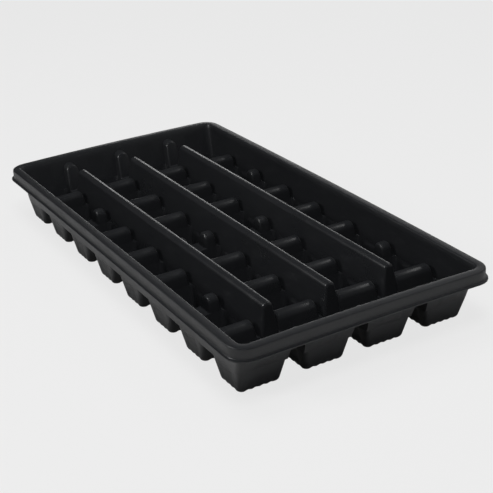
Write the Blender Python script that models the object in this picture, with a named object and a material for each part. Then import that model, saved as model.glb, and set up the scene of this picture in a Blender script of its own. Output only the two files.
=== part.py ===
"""Plant tray with four rows of pockets, formed from one thin plastic sheet.

The sheet is modelled in its named regions: rim, walls, ridges between the rows, dividers
across the rows and the pockets themselves. Neighbours meet along the sheet's folds with a
hairline seam. X runs along the tray, Y across it, and Z = 0 is the surface it stands on.
"""
import math

import bmesh
import bpy
from mathutils import Matrix

MM = 0.001

# Sheet, the hairline between neighbouring regions, and how far cutting forms run past a face
SHEET = 1.0 * MM
SEAM = 0.3 * MM
CUT_PAST = 2.0 * MM

# Rim: a flat land with a skirt that ends in a small outward lip
TRAY_HEIGHT = 59.0 * MM
RIM_LENGTH = 540.0 * MM
RIM_WIDTH = 275.0 * MM
RIM_CORNER = 18.0 * MM
LAND_WIDTH = 9.5 * MM
SKIRT_DEPTH = 12.0 * MM
LIP_WIDTH = 2.5 * MM

# Walls lean out by this much from the slot floor to the rim
END_WALL_RUN = 12.8 * MM
SIDE_WALL_RUN = 3.3 * MM

# Grid of pockets: columns along X, rows along Y, filling the basin inside the walls
COLUMNS = 8
ROWS = 4

# Pockets hang from a slot floor at this height, and narrow by a run at each side to their floors
SLOT_FLOOR = 23.5 * MM
POCKET_END_RUN = 6.05 * MM
POCKET_SIDE_RUN = 3.95 * MM
POCKET_CORNER = 7.0 * MM
POCKET_LEDGE = 0.6 * MM

# Webs are the hollow folds between pockets: this wide where they stand on the slot floor
WEB_BASE = 19.0 * MM

# Ridges part the rows and run past the first and last divisions, further at the far end
RIDGE_PAST_NEAR = 11.1 * MM
RIDGE_PAST_FAR = 21.1 * MM
RIDGE_DROP = 4.0 * MM
RIDGE_CREST = 11.0 * MM

# Dividers cross each row and leave a slot at both ends
DIVIDER_GAP = 3.3 * MM
DIVIDER_DROP = 21.5 * MM
DIVIDER_CREST = 13.0 * MM
POST_LENGTH = 10.4 * MM
POST_DIVISIONS = {1: (2, 6), 2: (4,), 3: (4,), 4: (2, 6)}

# Ribs stand on the end walls in line with the ridges
RIB_DROP = 8.0 * MM
RIB_BASE = 19.0 * MM
RIB_CREST = 13.0 * MM
RIB_REACH = 6.0 * MM

# Draft of the ends of ridges, dividers, posts and ribs: run for each unit of height
END_DRAFT = 0.12

# Facets on a quarter round, and how much of a web's half width its round crest takes
CORNER_STEPS = 3
CREST_STEPS = 3
CREST_ROUND = 0.94

# Sizes that follow from those above
LAND_UNDERSIDE = TRAY_HEIGHT - SHEET
BASIN_TOP = (RIM_LENGTH - 2 * LAND_WIDTH, RIM_WIDTH - 2 * LAND_WIDTH)
BASIN_FOOT = (BASIN_TOP[0] - 2 * END_WALL_RUN, BASIN_TOP[1] - 2 * SIDE_WALL_RUN)
COLUMN_PITCH = (BASIN_FOOT[0] + WEB_BASE) / COLUMNS
ROW_PITCH = (BASIN_FOOT[1] + WEB_BASE) / ROWS
RIDGE_LENGTH = (COLUMNS - 2) * COLUMN_PITCH + RIDGE_PAST_NEAR + RIDGE_PAST_FAR
RIDGE_X = (RIDGE_PAST_NEAR - RIDGE_PAST_FAR) / 2
DIVIDER_LENGTH = ROW_PITCH - WEB_BASE - 2 * DIVIDER_GAP
POCKET_MOUTH_LENGTH = COLUMN_PITCH - WEB_BASE - 2 * POCKET_LEDGE
POCKET_MOUTH_WIDTH = ROW_PITCH - WEB_BASE - 2 * POCKET_LEDGE
POCKET_FLOOR_LENGTH = POCKET_MOUTH_LENGTH - 2 * POCKET_END_RUN
POCKET_FLOOR_WIDTH = POCKET_MOUTH_WIDTH - 2 * POCKET_SIDE_RUN
BASIN_CORNER = POCKET_CORNER + POCKET_LEDGE
END_BAY_START = (COLUMNS / 2 - 1) * COLUMN_PITCH

PLASTIC = {
    "rim": ((0.021, 0.021, 0.022, 1.0), 0.42),
    "wall": ((0.012, 0.012, 0.013, 1.0), 0.38),
    "ridge": ((0.014, 0.014, 0.015, 1.0), 0.34),
    "divider": ((0.014, 0.014, 0.015, 1.0), 0.34),
    "pocket": ((0.013, 0.013, 0.014, 1.0), 0.40),
}


# Scene, collections and materials
for old in list(bpy.data.objects):
    bpy.data.objects.remove(old, do_unlink=True)

tray = bpy.data.collections.new("plant_tray")
cutters = bpy.data.collections.new("cutters")
bpy.context.scene.collection.children.link(tray)
bpy.context.scene.collection.children.link(cutters)


def plastic(region):
    """Return the material of one region of the sheet."""
    name = f"{region}_plastic"
    if name in bpy.data.materials:
        return bpy.data.materials[name]
    colour, roughness = PLASTIC[region]
    material = bpy.data.materials.new(name)
    material.use_nodes = True
    shader = material.node_tree.nodes["Principled BSDF"]
    shader.inputs["Base Color"].default_value = colour
    shader.inputs["Roughness"].default_value = roughness
    shader.inputs["Metallic"].default_value = 0.0
    return material


def add_part(name, mesh, region):
    """Link a mesh to the tray as one named part."""
    part = bpy.data.objects.new(name, mesh)
    if not mesh.materials:
        mesh.materials.append(plastic(region))
    tray.objects.link(part)
    return part


def add_cutter(name, mesh):
    """Link a mesh as a hidden shape that other objects are cut or joined with."""
    cutter = bpy.data.objects.new(name, mesh)
    cutter.hide_render = True
    cutter.display_type = "WIRE"
    cutters.objects.link(cutter)
    return cutter


def combine(target, operation, other):
    """Join, cut or trim one object with another."""
    modifier = target.modifiers.new(f"{operation.lower()}_{other.name}", "BOOLEAN")
    modifier.operation = operation
    modifier.solver = "EXACT"
    modifier.object = other


# Basic forms
def tapered_box(name, foot, top, z_low, z_high, corner=0.0):
    """Mesh of a box whose length and width change from foot to top, with round upright edges."""
    form = bmesh.new()
    bmesh.ops.create_cube(form, size=1.0)
    for vert in form.verts:
        size = top if vert.co.z > 0 else foot
        vert.co.x *= size[0]
        vert.co.y *= size[1]
        vert.co.z = z_high if vert.co.z > 0 else z_low
    if corner:
        upright = [edge for edge in form.edges if edge.verts[0].co.z != edge.verts[1].co.z]
        bmesh.ops.bevel(form, geom=upright, offset=corner, offset_type="OFFSET",
                        segments=CORNER_STEPS, profile=0.5, affect="EDGES")
    mesh = bpy.data.meshes.new(name)
    form.to_mesh(mesh)
    form.free()
    return mesh


def web(name, length, base, crest, z_high, skin, z_low):
    """Mesh of a fold between pockets: drafted sides, a half-round crest, its length along X.

    base and crest are its widths on the slot floor and at its top. skin is how far the form
    lies inside the sheet's outer face: 0 outside, SHEET in the hollow.
    """
    rise = z_high - SLOT_FLOOR
    side_draft = (base - crest) / 2 / rise

    def half_width(z):
        return base / 2 - skin - side_draft * (z - SLOT_FLOOR)

    def half_length(z):
        return length / 2 - skin + END_DRAFT * (z_high - z)

    top = z_high - skin
    form = bmesh.new()
    bmesh.ops.create_cube(form, size=2.0)
    for vert in form.verts:
        z = top if vert.co.z > 0 else z_low
        vert.co = (vert.co.x * half_length(z), vert.co.y * half_width(z), z)
    crest_edges = [
        edge for edge in form.edges
        if all(vert.co.z > top - SEAM for vert in edge.verts)
        and edge.verts[0].co.y * edge.verts[1].co.y > 0
    ]
    bmesh.ops.bevel(form, geom=crest_edges, offset=half_width(top) * CREST_ROUND, offset_type="OFFSET",
                    segments=CREST_STEPS, profile=0.5, affect="EDGES")
    mesh = bpy.data.meshes.new(name)
    form.to_mesh(mesh)
    form.free()
    return mesh


def gather(name, copies):
    """Mesh that holds copies of other meshes, each at its own place."""
    form = bmesh.new()
    for mesh, place in copies:
        start = len(form.verts)
        form.from_mesh(mesh)
        form.verts.ensure_lookup_table()
        bmesh.ops.transform(form, matrix=place, verts=form.verts[start:])
    mesh = bpy.data.meshes.new(name)
    form.to_mesh(mesh)
    form.free()
    return mesh


def box_between(name, low, high):
    """Mesh of a plain box between two corners."""
    size = [b - a for a, b in zip(low, high)]
    centre = [(a + b) / 2 for a, b in zip(low, high)]
    block = tapered_box(name, size[:2], size[:2], low[2], high[2])
    block.transform(Matrix.Translation((centre[0], centre[1], 0)))
    return block


# Places in the grid
def column_x(column):
    return (column - (COLUMNS + 1) / 2) * COLUMN_PITCH


def division_x(division):
    return (division - COLUMNS / 2) * COLUMN_PITCH


def row_y(row):
    return (row - (ROWS + 1) / 2) * ROW_PITCH


def ridge_y(ridge):
    return (ridge - ROWS / 2) * ROW_PITCH


def is_post(row, division):
    return division in POST_DIVISIONS[row]


ACROSS = Matrix.Rotation(math.pi / 2, 4, "Z")
DIVISIONS = range(1, COLUMNS)
RIDGES = range(1, ROWS)
BELOW = SLOT_FLOOR - 2 * CUT_PAST
POST_CENTRE = (DIVIDER_LENGTH - POST_LENGTH) / 2
crossings = [(row, division) for row in range(1, ROWS + 1) for division in DIVISIONS]
dividers_at = [crossing for crossing in crossings if not is_post(*crossing)]
at_ridges = [Matrix.Translation((RIDGE_X, ridge_y(ridge), 0)) for ridge in RIDGES]
at_dividers = [
    Matrix.Translation((division_x(division), row_y(row), 0)) @ ACROSS for row, division in dividers_at
]
at_posts = [
    Matrix.Translation((division_x(division), row_y(row) + side * POST_CENTRE, 0)) @ ACROSS
    for row, division in crossings if is_post(row, division) for side in (-1, 1)
]

# Tops of the webs
ridge_top = TRAY_HEIGHT - RIDGE_DROP
divider_top = TRAY_HEIGHT - DIVIDER_DROP
rib_top = TRAY_HEIGHT - RIB_DROP

# Hollow side of every web, open below
ridge_hollow = web("ridge_hollow", RIDGE_LENGTH, WEB_BASE, RIDGE_CREST, ridge_top, SHEET, BELOW)
divider_hollow = web("divider_hollow", DIVIDER_LENGTH, WEB_BASE, DIVIDER_CREST, divider_top, SHEET,
                     BELOW)
post_hollow = web("post_hollow", POST_LENGTH, WEB_BASE, DIVIDER_CREST, divider_top, SHEET, BELOW)

# Ribs: short webs that run out through the end walls
rib_length = RIB_REACH + RIM_LENGTH / 2 - BASIN_FOOT[0] / 2
rib_run = END_DRAFT * (rib_top - SLOT_FLOOR)
rib_x = BASIN_FOOT[0] / 2 - RIB_REACH + rib_run + rib_length / 2
at_ribs = [
    Matrix.Translation((end * rib_x, ridge_y(ridge), 0)) for ridge in RIDGES for end in (-1, 1)
]
rib_form = web("rib_form", rib_length, RIB_BASE, RIB_CREST, rib_top, 0.0, BELOW)
rib_hollow = web("rib_hollow", rib_length, RIB_BASE, RIB_CREST, rib_top, SHEET, BELOW)
ribs = add_cutter("ribs", gather("ribs", [(rib_form, place) for place in at_ribs]))
rib_voids = add_cutter("rib_voids", gather("rib_voids", [(rib_hollow, place) for place in at_ribs]))

# Walls: a drafted ring round the basin, with the ribs pushed in from outside
wall_low = SLOT_FLOOR + SEAM
wall_high = LAND_UNDERSIDE - SEAM


def basin_size(z, grow):
    """Length and width of the basin at a height."""
    share = (z - SLOT_FLOOR) / (TRAY_HEIGHT - SLOT_FLOOR)
    return [foot + (top - foot) * share + 2 * grow for foot, top in zip(BASIN_FOOT, BASIN_TOP)]


air_low = SLOT_FLOOR - CUT_PAST
air_high = TRAY_HEIGHT + CUT_PAST
basin_air = add_cutter("basin_air", tapered_box(
    "basin_air", basin_size(air_low, 0), basin_size(air_high, 0), air_low, air_high, BASIN_CORNER))
combine(basin_air, "DIFFERENCE", ribs)
wall_ring = add_cutter("wall_ring", tapered_box(
    "wall_ring", basin_size(wall_low, SHEET), basin_size(wall_high, SHEET), wall_low, wall_high,
    BASIN_CORNER + SHEET))
combine(wall_ring, "DIFFERENCE", basin_air)
combine(wall_ring, "DIFFERENCE", rib_voids)

reach_x = RIM_LENGTH / 2
reach_y = RIM_WIDTH / 2
joint_x = END_BAY_START + SEAM / 2
side_x = END_BAY_START - SEAM / 2
wall_boxes = {
    "end_wall_far": ((-reach_x, -reach_y), (-joint_x, reach_y)),
    "end_wall_near": ((joint_x, -reach_y), (reach_x, reach_y)),
    "side_wall_left": ((-side_x, -reach_y), (side_x, 0)),
    "side_wall_right": ((-side_x, 0), (side_x, reach_y)),
}
for name, (low, high) in wall_boxes.items():
    block = box_between(name, (*low, SLOT_FLOOR), (*high, TRAY_HEIGHT))
    combine(add_part(name, block, "wall"), "INTERSECT", wall_ring)

# Rim: land, skirt and lip
skirt_low = TRAY_HEIGHT - SKIRT_DEPTH
rim_size = (RIM_LENGTH, RIM_WIDTH)


def rim_outline(name, grow, z_low, z_high):
    size = [side + 2 * grow for side in rim_size]
    return tapered_box(name, size, size, z_low, z_high, RIM_CORNER + grow)


rim = add_part("rim", rim_outline("rim", 0.0, skirt_low, TRAY_HEIGHT), "rim")
combine(rim, "UNION", add_cutter(
    "lip", rim_outline("lip", LIP_WIDTH, skirt_low, skirt_low + SHEET)))
combine(rim, "DIFFERENCE", add_cutter(
    "skirt_void", rim_outline("skirt_void", -SHEET, skirt_low - CUT_PAST, LAND_UNDERSIDE)))
combine(rim, "DIFFERENCE", add_cutter("mouth", tapered_box(
    "mouth", basin_size(skirt_low, 0), basin_size(air_high, 0), skirt_low, air_high, BASIN_CORNER)))


# Ridges and dividers: hollow folds that stand on the slot floor
def web_shell(name, length, crest, z_high, hollow):
    """Mesh of a hollow fold, open below."""
    outside = add_cutter(name, web(name, length, WEB_BASE, crest, z_high, 0.0, SLOT_FLOOR + SEAM))
    combine(outside, "DIFFERENCE", add_cutter(f"{name}_void", hollow))
    shape = outside.evaluated_get(bpy.context.evaluated_depsgraph_get())
    return bpy.data.meshes.new_from_object(shape)


ridge_shell = web_shell("ridge_shell", RIDGE_LENGTH, RIDGE_CREST, ridge_top, ridge_hollow)
for ridge, place in zip(RIDGES, at_ridges):
    add_part(f"ridge_{ridge}", ridge_shell, "ridge").matrix_world = place

divider_shell = web_shell("divider_shell", DIVIDER_LENGTH, DIVIDER_CREST, divider_top, divider_hollow)
for (row, division), place in zip(dividers_at, at_dividers):
    add_part(f"divider_r{row}_d{division}", divider_shell, "divider").matrix_world = place

# Pockets: cups under a slot floor, with posts where a divider is left open in the middle
floor_size = (POCKET_FLOOR_LENGTH, POCKET_FLOOR_WIDTH)
mouth_size = (POCKET_MOUTH_LENGTH, POCKET_MOUTH_WIDTH)


def pocket_size(z, grow):
    """Length and width of a pocket at a height, between its floor and its mouth."""
    share = (z - SHEET) / (SLOT_FLOOR - SHEET)
    return [low + (high - low) * share + 2 * grow for low, high in zip(floor_size, mouth_size)]


cup_top = SLOT_FLOOR - SHEET / 2
cup_form = tapered_box("cup_form", pocket_size(0, SHEET), pocket_size(cup_top, SHEET), 0.0, cup_top,
                       POCKET_CORNER + SHEET)
cup_air = tapered_box("cup_air", pocket_size(SHEET, 0), pocket_size(air_high, 0), SHEET, air_high,
                      POCKET_CORNER)
at_pockets = [
    Matrix.Translation((column_x(column), row_y(row), 0))
    for row in range(1, ROWS + 1) for column in range(1, COLUMNS + 1)
]
post_form = web("post_form", POST_LENGTH, WEB_BASE, DIVIDER_CREST, divider_top, 0.0,
                SLOT_FLOOR - SHEET / 2)
sheet = add_cutter("pocket_sheet", tapered_box(
    "pocket_sheet", basin_size(SLOT_FLOOR, SHEET), basin_size(SLOT_FLOOR, SHEET),
    SLOT_FLOOR - SHEET, SLOT_FLOOR, BASIN_CORNER + SHEET))
voids = [(ridge_hollow, place) for place in at_ridges]
voids += [(divider_hollow, place) for place in at_dividers]
voids += [(post_hollow, place) for place in at_posts]
voids += [(rib_hollow, place) for place in at_ribs]
cups = gather("cups", [(cup_form, place) for place in at_pockets])
posts = gather("posts", [(post_form, place) for place in at_posts])
cup_airs = gather("cup_airs", [(cup_air, place) for place in at_pockets])
combine(sheet, "UNION", add_cutter("cups", cups))
combine(sheet, "UNION", add_cutter("posts", posts))
combine(sheet, "DIFFERENCE", add_cutter("web_voids", gather("web_voids", voids)))
combine(sheet, "DIFFERENCE", add_cutter("cup_airs", cup_airs))

for row in range(1, ROWS + 1):
    low_y = -reach_y if row == 1 else ridge_y(row - 1) + SEAM / 2
    high_y = reach_y if row == ROWS else ridge_y(row) - SEAM / 2
    first = 1
    for column in range(1, COLUMNS + 1):
        if column < COLUMNS and is_post(row, column):
            continue
        low_x = -reach_x if first == 1 else division_x(first - 1) + SEAM / 2
        high_x = reach_x if column == COLUMNS else division_x(column) - SEAM / 2
        columns = "_".join(f"c{each}" for each in range(first, column + 1))
        name = f"pocket_r{row}_{columns}"
        block = box_between(name, (low_x, low_y, -CUT_PAST), (high_x, high_y, TRAY_HEIGHT))
        combine(add_part(name, block, "pocket"), "INTERSECT", sheet)
        first = column + 1
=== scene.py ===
"""The looks of a slotted plant tray: one black sheet of plastic, heated and drawn over a mould.

X runs along the tray, Y across its rows, and Z = 0 is the surface that the pockets stand on.
"""
import math

import bmesh
import bpy
from mathutils import Matrix, Vector


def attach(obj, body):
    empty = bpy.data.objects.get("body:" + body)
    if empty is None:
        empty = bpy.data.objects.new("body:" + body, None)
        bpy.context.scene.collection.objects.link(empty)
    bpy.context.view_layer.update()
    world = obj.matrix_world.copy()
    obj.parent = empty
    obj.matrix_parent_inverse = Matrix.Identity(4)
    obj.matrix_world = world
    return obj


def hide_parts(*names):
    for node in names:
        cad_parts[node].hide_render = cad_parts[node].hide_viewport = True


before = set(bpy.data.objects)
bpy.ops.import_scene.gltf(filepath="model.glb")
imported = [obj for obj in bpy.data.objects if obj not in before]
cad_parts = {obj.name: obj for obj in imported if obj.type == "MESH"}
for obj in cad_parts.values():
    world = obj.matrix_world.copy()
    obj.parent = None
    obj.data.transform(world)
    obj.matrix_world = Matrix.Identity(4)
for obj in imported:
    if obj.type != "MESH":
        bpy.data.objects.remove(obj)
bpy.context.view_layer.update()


# The sheet: black high-impact polystyrene, about a millimetre thick, drawn hot over a mould.
# It is near black with a satin skin that keeps the mould's fine grain. Handling leaves faint
# pale rubs, the sheen is uneven where the sheet was stretched, and it bows a little as it cools.
MM = 0.001
SHEET = 1.0 * MM
WELD = 0.002 * MM
SHARP_ANGLE = math.radians(40)
BLACK, RUBBED_BLACK = "#1d1e20", "#272829"
REFRACTION = 1.5
GRAIN, GRAIN_DEPTH, GRAIN_STRENGTH = 1.2 * MM, 0.04 * MM, 0.15
SHEEN_PATCH = 38.0 * MM
SHEEN_FROM, SHEEN_TO = 0.3, 0.7
SMOOTHER, ROUGHER = 0.04, 0.05
RUB_WIDTH, RUB_STRETCH, RUB_ROUGHNESS = 2.4 * MM, 0.15, 0.15
RUB_FROM, RUB_TO = 0.54, 0.72
TRAY_TOP = 59.0 * MM
RIM_HALF = (270.0 * MM, 137.5 * MM)
LONG_BOW, CROSS_BOW, TWIST = 1.9 * MM, 1.5 * MM, 0.7 * MM


def srgb(code):
    """Turn a hex colour into linear red, green, blue and alpha."""
    parts = [int(code[i:i + 2], 16) / 255 for i in (1, 3, 5)]
    return [c / 12.92 if c <= 0.04045 else ((c + 0.055) / 1.055) ** 2.4 for c in parts] + [1.0]


def add_node(tree, kind, settings, links):
    """Add a node, set its options and input values, and link its inputs from other sockets."""
    node = tree.nodes.new(kind)
    for key, value in settings.items():
        if isinstance(key, str) and hasattr(node, key):
            setattr(node, key, value)
        else:
            node.inputs[key].default_value = value
    for key, source in links.items():
        tree.links.new(source, node.inputs[key])
    return node


def formed_polystyrene(name, rubs, satin):
    """Satin black formed sheet: the mould's grain as bump, uneven sheen, and faint pale rubs."""
    material = bpy.data.materials.new(name)
    material.use_nodes = True
    tree = material.node_tree
    shader = tree.nodes["Principled BSDF"]
    place = add_node(tree, "ShaderNodeTexCoord", {}, {}).outputs["Object"]
    grain = add_node(tree, "ShaderNodeTexNoise", {"Scale": 1 / GRAIN, "Detail": 2.0},
                     {"Vector": place})
    patch = add_node(tree, "ShaderNodeTexNoise", {"Scale": 1 / SHEEN_PATCH, "Detail": 3.0},
                     {"Vector": place})
    along = add_node(tree, "ShaderNodeMapping", {"Scale": (RUB_STRETCH, 1.0, 1.0)},
                     {"Vector": place})
    rub = add_node(tree, "ShaderNodeTexNoise",
                   {"Scale": 1 / RUB_WIDTH, "Detail": 4.0, "Roughness": 0.7},
                   {"Vector": along.outputs["Vector"]})
    worn = add_node(tree, "ShaderNodeMapRange",
                    {"From Min": RUB_FROM, "From Max": RUB_TO, "To Max": rubs},
                    {"Value": rub.outputs["Fac"]})
    skin = add_node(tree, "ShaderNodeMix",
                    {"data_type": "RGBA", 6: srgb(BLACK), 7: srgb(RUBBED_BLACK)},
                    {0: worn.outputs["Result"]})
    sheen = add_node(tree, "ShaderNodeMapRange",
                     {"From Min": SHEEN_FROM, "From Max": SHEEN_TO,
                      "To Min": satin - SMOOTHER, "To Max": satin + ROUGHER},
                     {"Value": patch.outputs["Fac"]})
    dull = add_node(tree, "ShaderNodeMath", {"operation": "MULTIPLY_ADD", 1: RUB_ROUGHNESS},
                    {0: worn.outputs["Result"], 2: sheen.outputs["Result"]})
    bump = add_node(tree, "ShaderNodeBump", {"Strength": GRAIN_STRENGTH, "Distance": GRAIN_DEPTH},
                    {"Height": grain.outputs["Fac"]})
    tree.links.new(skin.outputs[2], shader.inputs["Base Color"])
    tree.links.new(dull.outputs["Value"], shader.inputs["Roughness"])
    tree.links.new(bump.outputs["Normal"], shader.inputs["Normal"])
    shader.inputs["IOR"].default_value = REFRACTION
    return material


def thicken(form):
    """Give the sheet's upper side its thickness below."""
    bmesh.ops.remove_doubles(form, verts=form.verts[:], dist=WELD)
    bmesh.ops.recalc_face_normals(form, faces=form.faces[:])
    form.normal_update()
    if sum(face.normal.z * face.calc_area() for face in form.faces) < 0:
        bmesh.ops.reverse_faces(form, faces=form.faces[:])
    bmesh.ops.solidify(form, geom=form.faces[:], thickness=SHEET)


def keep_piece(name, form, material, slot, *nodes):
    """Make a finished form one piece of the tray, riding on its body in place of its CAD nodes."""
    for vert in form.verts:
        x, y = vert.co.x / RIM_HALF[0], vert.co.y / RIM_HALF[1]
        bow = LONG_BOW * (1 - x * x) + CROSS_BOW * (1 - y * y) - TWIST * x * y
        vert.co.z += bow * vert.co.z / TRAY_TOP
    mesh = bpy.data.meshes.new(name)
    form.to_mesh(mesh)
    form.free()
    mesh.materials.append(material)
    mesh.shade_smooth()
    mesh.set_sharp_from_angle(angle=SHARP_ANGLE)
    piece = bpy.data.objects.new(name, mesh)
    bpy.context.scene.collection.objects.link(piece)
    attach(piece, "root")
    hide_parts(*nodes)


# Ridges: the three long folds that part the rows of pockets, hollow below and round on top.
# They are drawn up from the sheet with a little draft, and stop short of the end walls so that
# a slot runs round their ends.
COLUMNS, ROWS = 8, 4
COLUMN_PITCH, ROW_PITCH = 64.3 * MM, 67.1 * MM
SLOT_FLOOR = 23.5 * MM
WEB_BASE = 19.0 * MM
RIDGE_LENGTH, RIDGE_CREST, RIDGE_TOP = 418.0 * MM, 9.0 * MM, 55.0 * MM
RIDGE_X = -5.0 * MM
CREST_ROUND, CREST_STEPS = 0.47, 7
END_DRAFT = 0.12
END_ROUND, END_STEPS = 2.6 * MM, 4
FOOT_ROUND, FOOT_STEPS = 0.8 * MM, 4
FOOT_SWEEP = 1.05 * END_ROUND
FACING = 0.9


def ridge_y(ridge):
    """Where a ridge lies across the tray."""
    return (ridge - ROWS / 2) * ROW_PITCH


def grow_ring(form, ring, place, *row):
    """Extrude a ring of edges and put its new points where place says; return the new ring."""
    made = bmesh.ops.extrude_edge_only(form, edges=ring)["geom"]
    for vert in [g for g in made if isinstance(g, bmesh.types.BMVert)]:
        vert.co = place(vert, *row)
    return [g for g in made if isinstance(g, bmesh.types.BMEdge)]


def foot_reach(length, top, draft=END_DRAFT):
    """Half the length of a fold at its foot, where its drafted ends have run out."""
    return length / 2 + draft * (top - SLOT_FLOOR)


def fold(length, base, crest, top, draft=END_DRAFT):
    """A fold of the sheet along X: drafted sides, half-round crest, rounded ends, open below."""
    form = bmesh.new()
    flare = form.verts.layers.float.new("flare")
    bmesh.ops.create_cube(form, size=2.0)
    reach = foot_reach(length, top, draft)
    for vert in form.verts:
        high = vert.co.z > 0
        vert.co = (vert.co.x * (length / 2 if high else reach),
                   vert.co.y * (crest if high else base) / 2, top if high else SLOT_FLOOR)
    upper = [e for e in form.edges if min(v.co.z for v in e.verts) > (SLOT_FLOOR + top) / 2]
    crests = [e for e in upper if e.verts[0].co.y * e.verts[1].co.y > 0]
    bmesh.ops.bevel(form, geom=crests, offset=CREST_ROUND * crest, offset_type="OFFSET",
                    segments=CREST_STEPS, profile=0.5, affect="EDGES", material=-1)
    form.normal_update()
    below = [f for f in form.faces if f.normal.z < -FACING]
    bmesh.ops.delete(form, geom=below, context="FACES_ONLY")
    ends = [f for f in form.faces if abs(f.normal.x) > FACING]
    rounds = list({e for f in ends for e in f.edges if not e.is_boundary})
    bmesh.ops.bevel(form, geom=rounds, offset=END_ROUND, offset_type="OFFSET",
                    segments=END_STEPS, profile=0.5, affect="EDGES", material=-1)

    def sweep(vert, out, down):
        return vert.co + vert[flare] * Vector((math.copysign(out, vert.co.x), 0, -down))

    # The foot of each end sweeps out into the slot floor
    ring = [e for e in form.edges
            if e.is_boundary and min(abs(v.co.x) for v in e.verts) > reach - FOOT_SWEEP]
    for vert in {v for e in ring for v in e.verts}:
        vert[flare] = min(1.0, max(0.0, (abs(vert.co.x) - reach + END_ROUND) / END_ROUND))
        vert.co.z += FOOT_ROUND * vert[flare]
    for step in range(FOOT_STEPS):
        turns = [math.pi / 2 * (step + more) / FOOT_STEPS for more in (0, 1)]
        out = FOOT_ROUND * (math.cos(turns[0]) - math.cos(turns[1]))
        down = FOOT_ROUND * (math.sin(turns[1]) - math.sin(turns[0]))
        ring = grow_ring(form, ring, sweep, out, down)
    return form


folded_skin = formed_polystyrene("folded_polystyrene", rubs=0.5, satin=0.3)
# Where folds stand on the slot floor: middle along and across, half size along and across
covers = []
for ridge in range(1, ROWS):
    form = fold(RIDGE_LENGTH, WEB_BASE, RIDGE_CREST, RIDGE_TOP)
    bmesh.ops.translate(form, vec=(RIDGE_X, ridge_y(ridge), 0), verts=form.verts[:])
    thicken(form)
    keep_piece(f"long_ridge_{ridge}", form, folded_skin, "ridge", f"ridge_{ridge}")
    covers.append((RIDGE_X, ridge_y(ridge), foot_reach(RIDGE_LENGTH, RIDGE_TOP), WEB_BASE / 2))


# Dividers: low half-round folds across each row that keep the pots apart, with a slot at both
# ends. They are hollow below, and their ends are rounded where the sheet turned down. In six
# places there is none, and the pockets on both sides carry a pair of posts instead.
DIVIDER_LENGTH, DIVIDER_CREST, DIVIDER_TOP = 41.5 * MM, 13.0 * MM, 37.5 * MM
POST_DIVISIONS = {1: (2, 6), 2: (4,), 3: (4,), 4: (2, 6)}
ACROSS = Matrix.Rotation(math.pi / 2, 4, "Z")


def division_x(division):
    """Where the division between two columns lies along the tray."""
    return (division - COLUMNS / 2) * COLUMN_PITCH


def row_y(row):
    """Where the middle of a row lies across the tray."""
    return (row - (ROWS + 1) / 2) * ROW_PITCH


def fold_across(length, x, y):
    """A low fold across a row, with its middle at a place."""
    form = fold(length, WEB_BASE, DIVIDER_CREST, DIVIDER_TOP)
    turned = Matrix.Translation((x, y, 0)) @ ACROSS
    bmesh.ops.transform(form, matrix=turned, verts=form.verts[:])
    thicken(form)
    return form


divider_reach = foot_reach(DIVIDER_LENGTH, DIVIDER_TOP)
for row in range(1, ROWS + 1):
    for division in range(1, COLUMNS):
        if division in POST_DIVISIONS[row]:
            continue
        x, y = division_x(division), row_y(row)
        form = fold_across(DIVIDER_LENGTH, x, y)
        spot = f"r{row}_d{division}"
        keep_piece(f"cross_fold_{spot}", form, folded_skin, "divider", f"divider_{spot}")
        covers.append((x, y, WEB_BASE / 2, divider_reach))


# Pockets: tapered cups with round corners and a scalloped foot, hanging from the slot floor.
# In places two cups share a pair of short posts in place of a divider. All are drawn from the
# same sheet, and their skin is a little duller than that of the folds.
POST_LENGTH = 10.4 * MM
POST_CENTRE = (DIVIDER_LENGTH - POST_LENGTH) / 2
FLOOR_HALF = (16.0 * MM, 20.2 * MM)
MOUTH_HALF = ((COLUMN_PITCH - WEB_BASE) / 2, (ROW_PITCH - WEB_BASE) / 2)
CELL_HALF = (COLUMN_PITCH / 2, ROW_PITCH / 2)
BASIN_FOOT = (COLUMNS * COLUMN_PITCH / 2 - WEB_BASE / 2, ROWS * ROW_PITCH / 2 - WEB_BASE / 2)
CUP_CORNER, CORNER_STEPS = 4.0 * MM, 6
FLOOR_INSET = 3.0 * MM
FOOT_FILLET, MOUTH_FILLET = 2.8 * MM, 1.0 * MM
FILLET_TURNS = (0, 22.5, 45, 67.5, 90)
SCALLOP, SCALLOP_PITCH, SCALLOP_LOSS = 1.0 * MM, 8.5 * MM, 0.2
PANEL_HALF, PANEL_DEPTH, PANEL_FADE = 0.52 * MOUTH_HALF[0], 0.9 * MM, 2.5 * MM
OPEN_FROM, OPEN_OVER = 1.0 * MM, 1.5 * MM
POINT_SPACING = 2.0 * MM
LEVEL_SLACK, CUT_SLACK, WALL_GAP = 0.01 * MM, 0.001 * MM, 0.005 * MM
# Points up a cup's wall: height in millimetres, share of the scallops, share of the side panel
CUP_WALL = ((5.5, 0.5, 0.0), (7.5, 0.1, 1.0), (12.0, 0.0, 1.0),
            (17.0, 0.0, 1.0), (19.5, 0.0, 1.0), (21.0, 0.0, 0.0))


def column_x(column):
    """Where the middle of a column lies along the tray."""
    return (column - (COLUMNS + 1) / 2) * COLUMN_PITCH


def ease(value):
    """Smooth step from 0 to 1."""
    value = min(1.0, max(0.0, value))
    return value * value * (3 - 2 * value)


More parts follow.
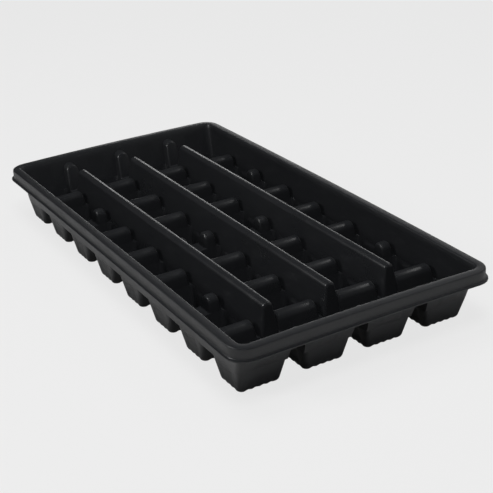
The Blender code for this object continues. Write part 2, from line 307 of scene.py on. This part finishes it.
def outline(half, corner, z, spacing):
    """A form with one rounded rectangle, its points' own places as a layer, and its face."""
    form = bmesh.new()
    seat = form.verts.layers.float_vector.new("seat")
    place = Matrix.Translation((0, 0, z)) @ Matrix.Diagonal((half[0], half[1], 1, 1))
    bmesh.ops.create_grid(form, x_segments=1, y_segments=1, size=1.0, matrix=place)
    bmesh.ops.bevel(form, geom=form.verts[:], offset=corner, offset_type="OFFSET",
                    segments=CORNER_STEPS, profile=0.5, affect="VERTICES", material=-1)
    for edge in form.edges[:]:
        cuts = round(edge.calc_length() / spacing) - 1
        if cuts > 0:
            bmesh.ops.subdivide_edges(form, edges=[edge], cuts=cuts)
    for vert in form.verts:
        vert[seat] = vert.co
    form.faces.ensure_lookup_table()
    return form, seat, form.faces[0]


def on_outline(start, was, was_corner, now, now_corner, z):
    """Where a point of one rounded rectangle lies on another one."""
    spot = []
    for value, old, new in zip(start[:2], was, now):
        past = abs(value) - (old - was_corner)
        if past > 0:
            moved = new - now_corner + past * now_corner / was_corner
        else:
            moved = abs(value) * (new - now_corner) / (old - was_corner)
        spot.append(math.copysign(moved, value))
    return Vector((*spot, z))


def wall_half(z, grow=0.0):
    """Half length and half width of a cup at a height."""
    share = (z - SHEET) / (SLOT_FLOOR - SHEET)
    return [low + (high - low) * share + grow for low, high in zip(FLOOR_HALF, MOUTH_HALF)]


def basin_room(x, y):
    """How far a place lies inside the basin's foot."""
    past = [abs(value) - half + CUP_CORNER for value, half in zip((x, y), BASIN_FOOT)]
    return CUP_CORNER - (math.hypot(*past) if min(past) > 0 else max(past))


def openness(x, y):
    """1 in the open slots between folds, falling to 0 against a fold or a wall."""
    clear = basin_room(x, y)
    for cx, cy, hx, hy in covers:
        clear = min(clear, max(abs(x - cx) - hx, abs(y - cy) - hy))
    return ease((clear - OPEN_FROM) / OPEN_OVER)


def scallop(seat):
    """How far a cup's foot lifts at a point of its outline: waves along its straight sides."""
    sides = [half - CUP_CORNER for half in FLOOR_HALF]
    for value, flat, other, other_flat in ((seat.x, sides[0], seat.y, sides[1]),
                                           (seat.y, sides[1], seat.x, sides[0])):
        if abs(value) < flat and abs(other) > other_flat:
            waves = round(2 * flat / SCALLOP_PITCH)
            return SCALLOP * (0.5 - 0.5 * math.cos(math.pi * waves * (value + flat) / flat))
    return 0.0


def cup(column, row):
    """One pocket's sheet: floor, scalloped foot, drafted wall with a side panel, and slot floor."""
    form, seat, floor = outline(FLOOR_HALF, CUP_CORNER, SHEET, POINT_SPACING)
    centre = Vector((column_x(column), row_y(row), 0))

    def at(vert, half, z):
        return on_outline(vert[seat], FLOOR_HALF, CUP_CORNER, half, CUP_CORNER, z)

    def on_foot(vert, turn):
        bend = math.radians(turn)
        away = FOOT_FILLET * (1 - math.sin(bend))
        z = SHEET + FOOT_FILLET * (1 - math.cos(bend))
        lift = scallop(vert[seat]) * (1 - SCALLOP_LOSS * turn / 90)
        return at(vert, wall_half(z, -away), z + lift)

    def on_wall(vert, z, waves, panel):
        spot = at(vert, wall_half(z), z + waves * scallop(vert[seat]))
        if abs(vert[seat].y) > FLOOR_HALF[1] - LEVEL_SLACK:
            inside = ease((PANEL_HALF - abs(spot.x)) / PANEL_FADE)
            spot.y -= math.copysign(PANEL_DEPTH * panel * inside, spot.y)
        return spot

    def on_mouth(vert, turn):
        mouth = at(vert, MOUTH_HALF, SLOT_FLOOR) + centre
        share = openness(mouth.x, mouth.y)
        bend = math.radians(turn)
        plain_z = SLOT_FLOOR - MOUTH_FILLET * (1 - turn / 90)
        round_z = SLOT_FLOOR - MOUTH_FILLET * (1 - math.sin(bend))
        away = MOUTH_FILLET * (1 - math.cos(bend)) * share
        z = plain_z + (round_z - plain_z) * share
        return at(vert, wall_half(z, away), z)

    ring = list(floor.edges)
    for vert in floor.verts:
        vert.co = on_foot(vert, FILLET_TURNS[0])
    for turn in FILLET_TURNS[1:]:
        ring = grow_ring(form, ring, on_foot, turn)
    for level, waves, panel in CUP_WALL:
        ring = grow_ring(form, ring, on_wall, level * MM, waves, panel)
    for turn in FILLET_TURNS:
        ring = grow_ring(form, ring, on_mouth, turn)
    grow_ring(form, ring, at, CELL_HALF, SLOT_FLOOR)
    bmesh.ops.inset_region(form, faces=[floor], thickness=FLOOR_INSET, use_even_offset=True)
    for vert in floor.verts:
        vert.co.z = SHEET
    bmesh.ops.translate(form, vec=centre, verts=form.verts[:])
    return form


def cut(form, faces, place, normal, clear=False):
    """Cut faces along a plane, and clear away what lies past it where that is asked for."""
    geom = list({g for f in faces for g in (f, *f.edges, *f.verts)})
    bmesh.ops.bisect_plane(form, geom=geom, plane_co=place, plane_no=normal, dist=CUT_SLACK,
                           clear_outer=clear)


def slot_floor_faces(form):
    """The faces of a cup's form that lie in the slot floor."""
    return [f for f in form.faces if min(v.co.z for v in f.verts) > SLOT_FLOOR - LEVEL_SLACK]


def open_below(form):
    """Cut the slot floor away where a fold is hollow above it, and where it meets the walls."""
    for cx, cy, hx, hy in covers:
        hx, hy = hx - SHEET, hy - SHEET
        if not any(abs(v.co.x - cx) < hx + COLUMN_PITCH and abs(v.co.y - cy) < hy + ROW_PITCH
                   for f in slot_floor_faces(form) for v in f.verts):
            continue
        for side in (-1, 1):
            cut(form, slot_floor_faces(form), (cx + side * hx, 0, 0), (1, 0, 0))
        for side in (-1, 1):
            cut(form, slot_floor_faces(form), (0, cy + side * hy, 0), (0, 1, 0))
        gone = []
        for face in slot_floor_faces(form):
            middle = face.calc_center_median()
            if abs(middle.x - cx) < hx and abs(middle.y - cy) < hy:
                gone.append(face)
        bmesh.ops.delete(form, geom=gone, context="FACES")
    for half, axis in zip(BASIN_FOOT, (Vector((1, 0, 0)), Vector((0, 1, 0)))):
        for side in (-1, 1):
            cut(form, form.faces, side * axis * (half - WALL_GAP), side * axis, clear=True)
    gone = [f for f in slot_floor_faces(form) if basin_room(*f.calc_center_median()[:2]) < 0]
    bmesh.ops.delete(form, geom=gone, context="FACES")


def joined(forms):
    """Put several forms in one."""
    whole = bmesh.new()
    for form in forms:
        part = bpy.data.meshes.new("part")
        form.to_mesh(part)
        form.free()
        whole.from_mesh(part)
        bpy.data.meshes.remove(part)
    return whole


# The ribs of the end walls and the posts are hollow as well, so the slot floor is open there
RIB_TOP, RIB_BASE, RIB_CREST = 51.0 * MM, 19.0 * MM, 13.0 * MM
RIB_REACH, RIB_LENGTH, RIB_DRAFT = 12.0 * MM, 36.0 * MM, 0.4
rib_foot = foot_reach(RIB_LENGTH, RIB_TOP, RIB_DRAFT)
rib_x = BASIN_FOOT[0] - RIB_REACH + rib_foot
covers += [(end * rib_x, ridge_y(ridge), rib_foot, RIB_BASE / 2)
           for ridge in range(1, ROWS) for end in (-1, 1)]
post_reach = foot_reach(POST_LENGTH, DIVIDER_TOP)
covers += [(division_x(division), row_y(row) + side * POST_CENTRE, WEB_BASE / 2, post_reach)
           for row in POST_DIVISIONS for division in POST_DIVISIONS[row] for side in (-1, 1)]

cup_skin = formed_polystyrene("drawn_polystyrene", rubs=0.7, satin=0.36)
for row in range(1, ROWS + 1):
    first = 1
    for column in range(1, COLUMNS + 1):
        if column in POST_DIVISIONS[row]:
            continue
        columns = range(first, column + 1)
        forms = [cup(each, row) for each in columns]
        for form in forms:
            open_below(form)
            thicken(form)
        if len(columns) > 1:
            forms += [fold_across(POST_LENGTH, division_x(first), row_y(row) + side * POST_CENTRE)
                      for side in (-1, 1)]
        name = f"r{row}_" + "_".join(f"c{each}" for each in columns)
        keep_piece(f"cup_{name}", joined(forms), cup_skin, "pocket", f"pocket_{name}")
        first = column + 1


# Walls: the basin round the pockets, leaning out to the rim. The end walls carry three short
# ribs in line with the ridges and a shallow panel over each row, all pressed into the sheet.
BASIN_TOP = (260.5 * MM, 128.0 * MM)
BASIN_CORNER = 7.3 * MM
WALL_SEAM = 53.0 * MM
END_PANEL_HALF, END_PANEL_DEPTH, END_PANEL_FADE = 11.5 * MM, 0.5 * MM, 2.5 * MM
END_PANEL_LOW, END_PANEL_RISE = 25.0 * MM, 4.0 * MM
END_PANEL_HIGH, END_PANEL_FALL = 52.0 * MM, 8.0 * MM
# Heights of the points up the walls in millimetres, up to the seam
WALL_LEVELS = (24.0, 24.7, 25.5, 27.0, 30.0, 34.0, 39.0, 44.0, 48.0, 49.5, 51.0, 53.0)


def basin_share(z):
    """How far up the basin's wall a height is, from 0 at the foot to 1 at the top."""
    return (z - SLOT_FLOOR) / (TRAY_TOP - SLOT_FLOOR)


def basin_half(z):
    """Half length and half width of the basin at a height."""
    return [foot + (top - foot) * basin_share(z) for foot, top in zip(BASIN_FOOT, BASIN_TOP)]


def basin_corner(z):
    """Corner radius of the basin at a height: as tight as the cups at its foot, wider at the top."""
    return CUP_CORNER + (BASIN_CORNER - CUP_CORNER) * basin_share(z)


def on_basin(vert, z):
    """Where a point of the walls lies at a height, pressed out a little in the end panels."""
    spot = on_outline(vert[seat], BASIN_FOOT, CUP_CORNER, basin_half(z), basin_corner(z), z)
    if abs(vert[seat].x) > BASIN_FOOT[0] - LEVEL_SLACK:
        off_row = min(abs(spot.y - row_y(row)) for row in range(1, ROWS + 1))
        wide = ease((END_PANEL_HALF - off_row) / END_PANEL_FADE)
        tall = ease((z - END_PANEL_LOW) / END_PANEL_RISE) * ease((END_PANEL_HIGH - z) / END_PANEL_FALL)
        spot.x += math.copysign(END_PANEL_DEPTH * tall * wide, spot.x)
    return spot


def open_behind(form, y):
    """Open the wall behind a rib, which is hollow to the outside."""
    drawn = (RIB_BASE - RIB_CREST) / 2 / (RIB_TOP - SLOT_FLOOR)
    bend = RIB_CREST / 2 - SHEET
    planes = [(Vector((0, y + side * (RIB_BASE / 2 - SHEET), SLOT_FLOOR)), Vector((0, side, drawn)))
              for side in (-1, 1)]
    for turn in range(15, 180, 30):
        normal = Vector((0, math.cos(math.radians(turn)), math.sin(math.radians(turn))))
        planes.append((Vector((0, y, RIB_TOP - RIB_CREST / 2)) + bend * normal, normal))
    for place, normal in planes:
        near = [f for f in form.faces if abs(f.calc_center_median().y - y) < RIB_BASE]
        cut(form, near, place, normal)
    gone = [f for f in form.faces
            if all((f.calc_center_median() - place).dot(normal) < 0 for place, normal in planes)]
    bmesh.ops.delete(form, geom=gone, context="FACES")


walls, seat, floor = outline(BASIN_FOOT, CUP_CORNER, SLOT_FLOOR, POINT_SPACING)
ring = list(floor.edges)
bmesh.ops.delete(walls, geom=[floor], context="FACES_ONLY")
for level in WALL_LEVELS:
    ring = grow_ring(walls, ring, on_basin, level * MM)

wall_skin = formed_polystyrene("wall_polystyrene", rubs=0.5, satin=0.34)
lean = (BASIN_TOP[0] - BASIN_FOOT[0]) / (TRAY_TOP - SLOT_FLOOR)
end_bay = (COLUMNS / 2 - 1) * COLUMN_PITCH
# Each wall is what is left of the whole ring after cuts, given as a place and the side cleared
far_off, near_off = ((-end_bay, 0, 0), (-1, 0, 0)), ((end_bay, 0, 0), (1, 0, 0))
for name, node, end, cuts in (
        ("far_end", "end_wall_far", -1, [((-end_bay, 0, 0), (1, 0, 0))]),
        ("near_end", "end_wall_near", 1, [((end_bay, 0, 0), (-1, 0, 0))]),
        ("left_side", "side_wall_left", 0, [far_off, near_off, ((0, 0, 0), (0, 1, 0))]),
        ("right_side", "side_wall_right", 0, [far_off, near_off, ((0, 0, 0), (0, -1, 0))])):
    form = walls.copy()
    for place, normal in cuts:
        cut(form, form.faces, place, normal, clear=True)
    ribs = []
    for ridge in range(1, ROWS) if end else ():
        open_behind(form, ridge_y(ridge))
        rib = fold(RIB_LENGTH, RIB_BASE, RIB_CREST, RIB_TOP, RIB_DRAFT)
        bmesh.ops.translate(rib, vec=(end * rib_x, ridge_y(ridge), 0), verts=rib.verts[:])
        wall_foot = (end * (BASIN_FOOT[0] + SHEET / 2), 0, SLOT_FLOOR)
        cut(rib, rib.faces, wall_foot, Vector((end, 0, -lean)).normalized(), clear=True)
        thicken(rib)
        ribs.append(rib)
    thicken(form)
    keep_piece(f"wall_{name}", joined([form, *ribs]), wall_skin, "wall", node)
walls.free()


# Rim: a flat land with rounded edges, a skirt that turns down outside it, and a small lip that
# stiffens the skirt's edge. It is where the tray is gripped, so its skin is rubbed the most.
RIM_CORNER = 18.0 * MM
LAND, LIP = 9.5 * MM, 12.0 * MM
SKIRT_FOOT = 48.0 * MM
EDGE_ROUND, LIP_ROUND = 1.5 * MM, 1.6 * MM
TURN_STEPS = 4
RIM_SPACING = 8.0 * MM


def quarter_round(out, z, radius, first, last):
    """Points of a quarter circle in the rim's profile: way out from the basin, and height."""
    turns = [math.radians(first + (last - first) * step / TURN_STEPS)
             for step in range(TURN_STEPS + 1)]
    return [(out + radius * math.cos(turn), z + radius * math.sin(turn)) for turn in turns]


def on_rim(vert, half, corner, z):
    """Where a point of the rim lies on a wider outline at a height."""
    return on_outline(vert[seat], start, start_corner, half, corner, z)


profile = quarter_round(EDGE_ROUND, TRAY_TOP - EDGE_ROUND, EDGE_ROUND, 180, 90)
profile.append((LAND / 2, TRAY_TOP))
profile += quarter_round(LAND - EDGE_ROUND, TRAY_TOP - EDGE_ROUND, EDGE_ROUND, 90, 0)
profile.append((LAND, WALL_SEAM))
profile += quarter_round(LAND + LIP_ROUND, SKIRT_FOOT + LIP_ROUND, LIP_ROUND, 180, 270)
profile.append((LIP, SKIRT_FOOT))
start, start_corner = basin_half(WALL_SEAM), basin_corner(WALL_SEAM)
form, seat, floor = outline(start, start_corner, WALL_SEAM, RIM_SPACING)
ring = list(floor.edges)
bmesh.ops.delete(form, geom=[floor], context="FACES_ONLY")
for out, z in profile:
    half = [top + out for top in BASIN_TOP] if out > 0 else basin_half(z)
    corner = BASIN_CORNER + (RIM_CORNER - BASIN_CORNER) * min(out / LAND, 1) + max(out - LAND, 0)
    ring = grow_ring(form, ring, on_rim, half, corner, z)
thicken(form)
rim_skin = formed_polystyrene("rim_polystyrene", rubs=1.0, satin=0.38)
keep_piece("rim_land_and_skirt", form, rim_skin, "rim", "rim")


# Stage: a plain pale floor, soft light and a camera where the photograph was taken from. The
# camera sees the floor mostly as an even glow, with a share of plain paper that takes the shadow,
# and the tray mirrors next to nothing of the glow.
FLOOR_GREY, FLOOR_SHADE = "#ededed", "#b8b8b8"
FLOOR_HALF_SIZE, FLOOR_DROP = 6.0, 0.4 * MM
FLOOR_GLOW, GLOW_SEEN, GLOW_MIRRORED = 1.055, 0.85, 0.04
floor_form = bmesh.new()
bmesh.ops.create_grid(floor_form, x_segments=1, y_segments=1, size=FLOOR_HALF_SIZE)
floor_mesh = bpy.data.meshes.new("studio_floor")
floor_form.to_mesh(floor_mesh)
floor_form.free()
studio_floor = bpy.data.objects.new("studio_floor", floor_mesh)
studio_floor.location.z = -FLOOR_DROP
bpy.context.scene.collection.objects.link(studio_floor)
paper = bpy.data.materials.new("pale_paper")
paper.use_nodes = True
tree = paper.node_tree
tree.nodes.clear()
matt = add_node(tree, "ShaderNodeBsdfDiffuse", {"Color": srgb(FLOOR_SHADE)}, {})
glow = add_node(tree, "ShaderNodeEmission", {"Color": srgb(FLOOR_GREY), "Strength": FLOOR_GLOW}, {})
path = add_node(tree, "ShaderNodeLightPath", {}, {})
mirrored = add_node(tree, "ShaderNodeMath", {"operation": "MULTIPLY", 1: GLOW_MIRRORED},
                    {0: path.outputs["Is Glossy Ray"]})
share = add_node(tree, "ShaderNodeMath", {"operation": "MULTIPLY_ADD", 1: GLOW_SEEN},
                 {0: path.outputs["Is Camera Ray"], 2: mirrored.outputs["Value"]})
mixed = add_node(tree, "ShaderNodeMixShader", {},
                 {0: share.outputs["Value"], 1: matt.outputs["BSDF"], 2: glow.outputs["Emission"]})
add_node(tree, "ShaderNodeOutputMaterial", {}, {"Surface": mixed.outputs["Shader"]})
floor_mesh.materials.append(paper)


def soft_box(name, place, aim, size, watts):
    """A rectangular soft light."""
    lamp = bpy.data.lights.new(name, "AREA")
    lamp.shape = "RECTANGLE"
    lamp.size, lamp.size_y = size
    lamp.energy = watts
    light = bpy.data.objects.new(name, lamp)
    light.location = place
    light.rotation_mode = "QUATERNION"
    light.rotation_quaternion = (Vector(aim) - Vector(place)).to_track_quat("-Z", "Y")
    bpy.context.scene.collection.objects.link(light)
    return light


# A compact key from the left, soft light that leaves no glints, and strips that draw the edges
soft_box("left", (-0.44, -1.66, 1.05), (0, 0, 0), (0.45, 0.4), 13.0)
soft_box("top", (-0.4, -0.2, 2.1), (0, 0, 0), (1.2, 1.2), 17.0).visible_glossy = False
soft_box("back_right", (-1.6, 1.3, 0.3), (0, 0, 0.04), (1.6, 0.35), 4.0)
soft_box("right", (0.0, 1.35, 1.6), (0, 0, 0.04), (1.0, 0.15), 2.5)
soft_box("fill", (0.75, -0.35, 1.7), (0, 0, 0.03), (0.6, 0.6), 21.0).visible_glossy = False
soft_box("front", (1.3, 0.9, 0.1), (0.25, 0, 0.01), (0.8, 0.15), 4.2).visible_glossy = False

# The room is dim, brighter low down and towards +Y, and the camera sees a plain backdrop
LOW, HIGH = (0.05, 0.5), (0.3, 0.15)
LEFT, FAR_RIGHT = (0.3, 0.15), (0.65, 1.0)
world = bpy.data.worlds.new("studio")
bpy.context.scene.world = world
world.use_nodes = True
tree = world.node_tree
tree.nodes.clear()
path = add_node(tree, "ShaderNodeLightPath", {}, {})
away = add_node(tree, "ShaderNodeTexCoord", {}, {})
towards = add_node(tree, "ShaderNodeSeparateXYZ", {}, {"Vector": away.outputs["Generated"]})
sweep = add_node(tree, "ShaderNodeMapRange",
                 {"From Min": LOW[0], "From Max": HIGH[0], "To Min": LOW[1], "To Max": HIGH[1]},
                 {"Value": towards.outputs["Z"]})
side = add_node(tree, "ShaderNodeMapRange",
                {"From Min": LEFT[0], "From Max": FAR_RIGHT[0],
                 "To Min": LEFT[1], "To Max": FAR_RIGHT[1]},
                {"Value": towards.outputs["Y"]})
level = add_node(tree, "ShaderNodeMath", {"operation": "MULTIPLY"},
                 {0: sweep.outputs["Result"], 1: side.outputs["Result"]})
room = add_node(tree, "ShaderNodeBackground", {"Color": srgb(FLOOR_GREY)},
                {"Strength": level.outputs["Value"]})
backdrop = add_node(tree, "ShaderNodeBackground", {"Color": srgb(FLOOR_GREY), "Strength": 1.0}, {})
mixed = add_node(tree, "ShaderNodeMixShader", {},
                 {0: path.outputs["Is Camera Ray"], 1: room.outputs["Background"],
                  2: backdrop.outputs["Background"]})
add_node(tree, "ShaderNodeOutputWorld", {}, {"Surface": mixed.outputs["Shader"]})

CAMERA_PLACE = (0.9737, -0.5202, 0.52291)
RIGHT = (0.509157, 0.859453, -0.045816)
UP = (-0.338386, 0.248844, 0.907509)
BACK = (0.791362, -0.446561, 0.417527)
LENS, SENSOR, SIGHT = 82.83, 36.0, 50.0
lens = bpy.data.cameras.new("photo_camera")
lens.lens = LENS
lens.sensor_width = SENSOR
lens.clip_end = SIGHT
camera = bpy.data.objects.new("photo_camera", lens)
turned = Matrix((RIGHT, UP, BACK)).transposed().to_4x4()
camera.matrix_world = Matrix.Translation(CAMERA_PLACE) @ turned
bpy.context.scene.collection.objects.link(camera)
bpy.context.scene.camera = camera
bpy.context.scene.view_settings.view_transform = "Standard"
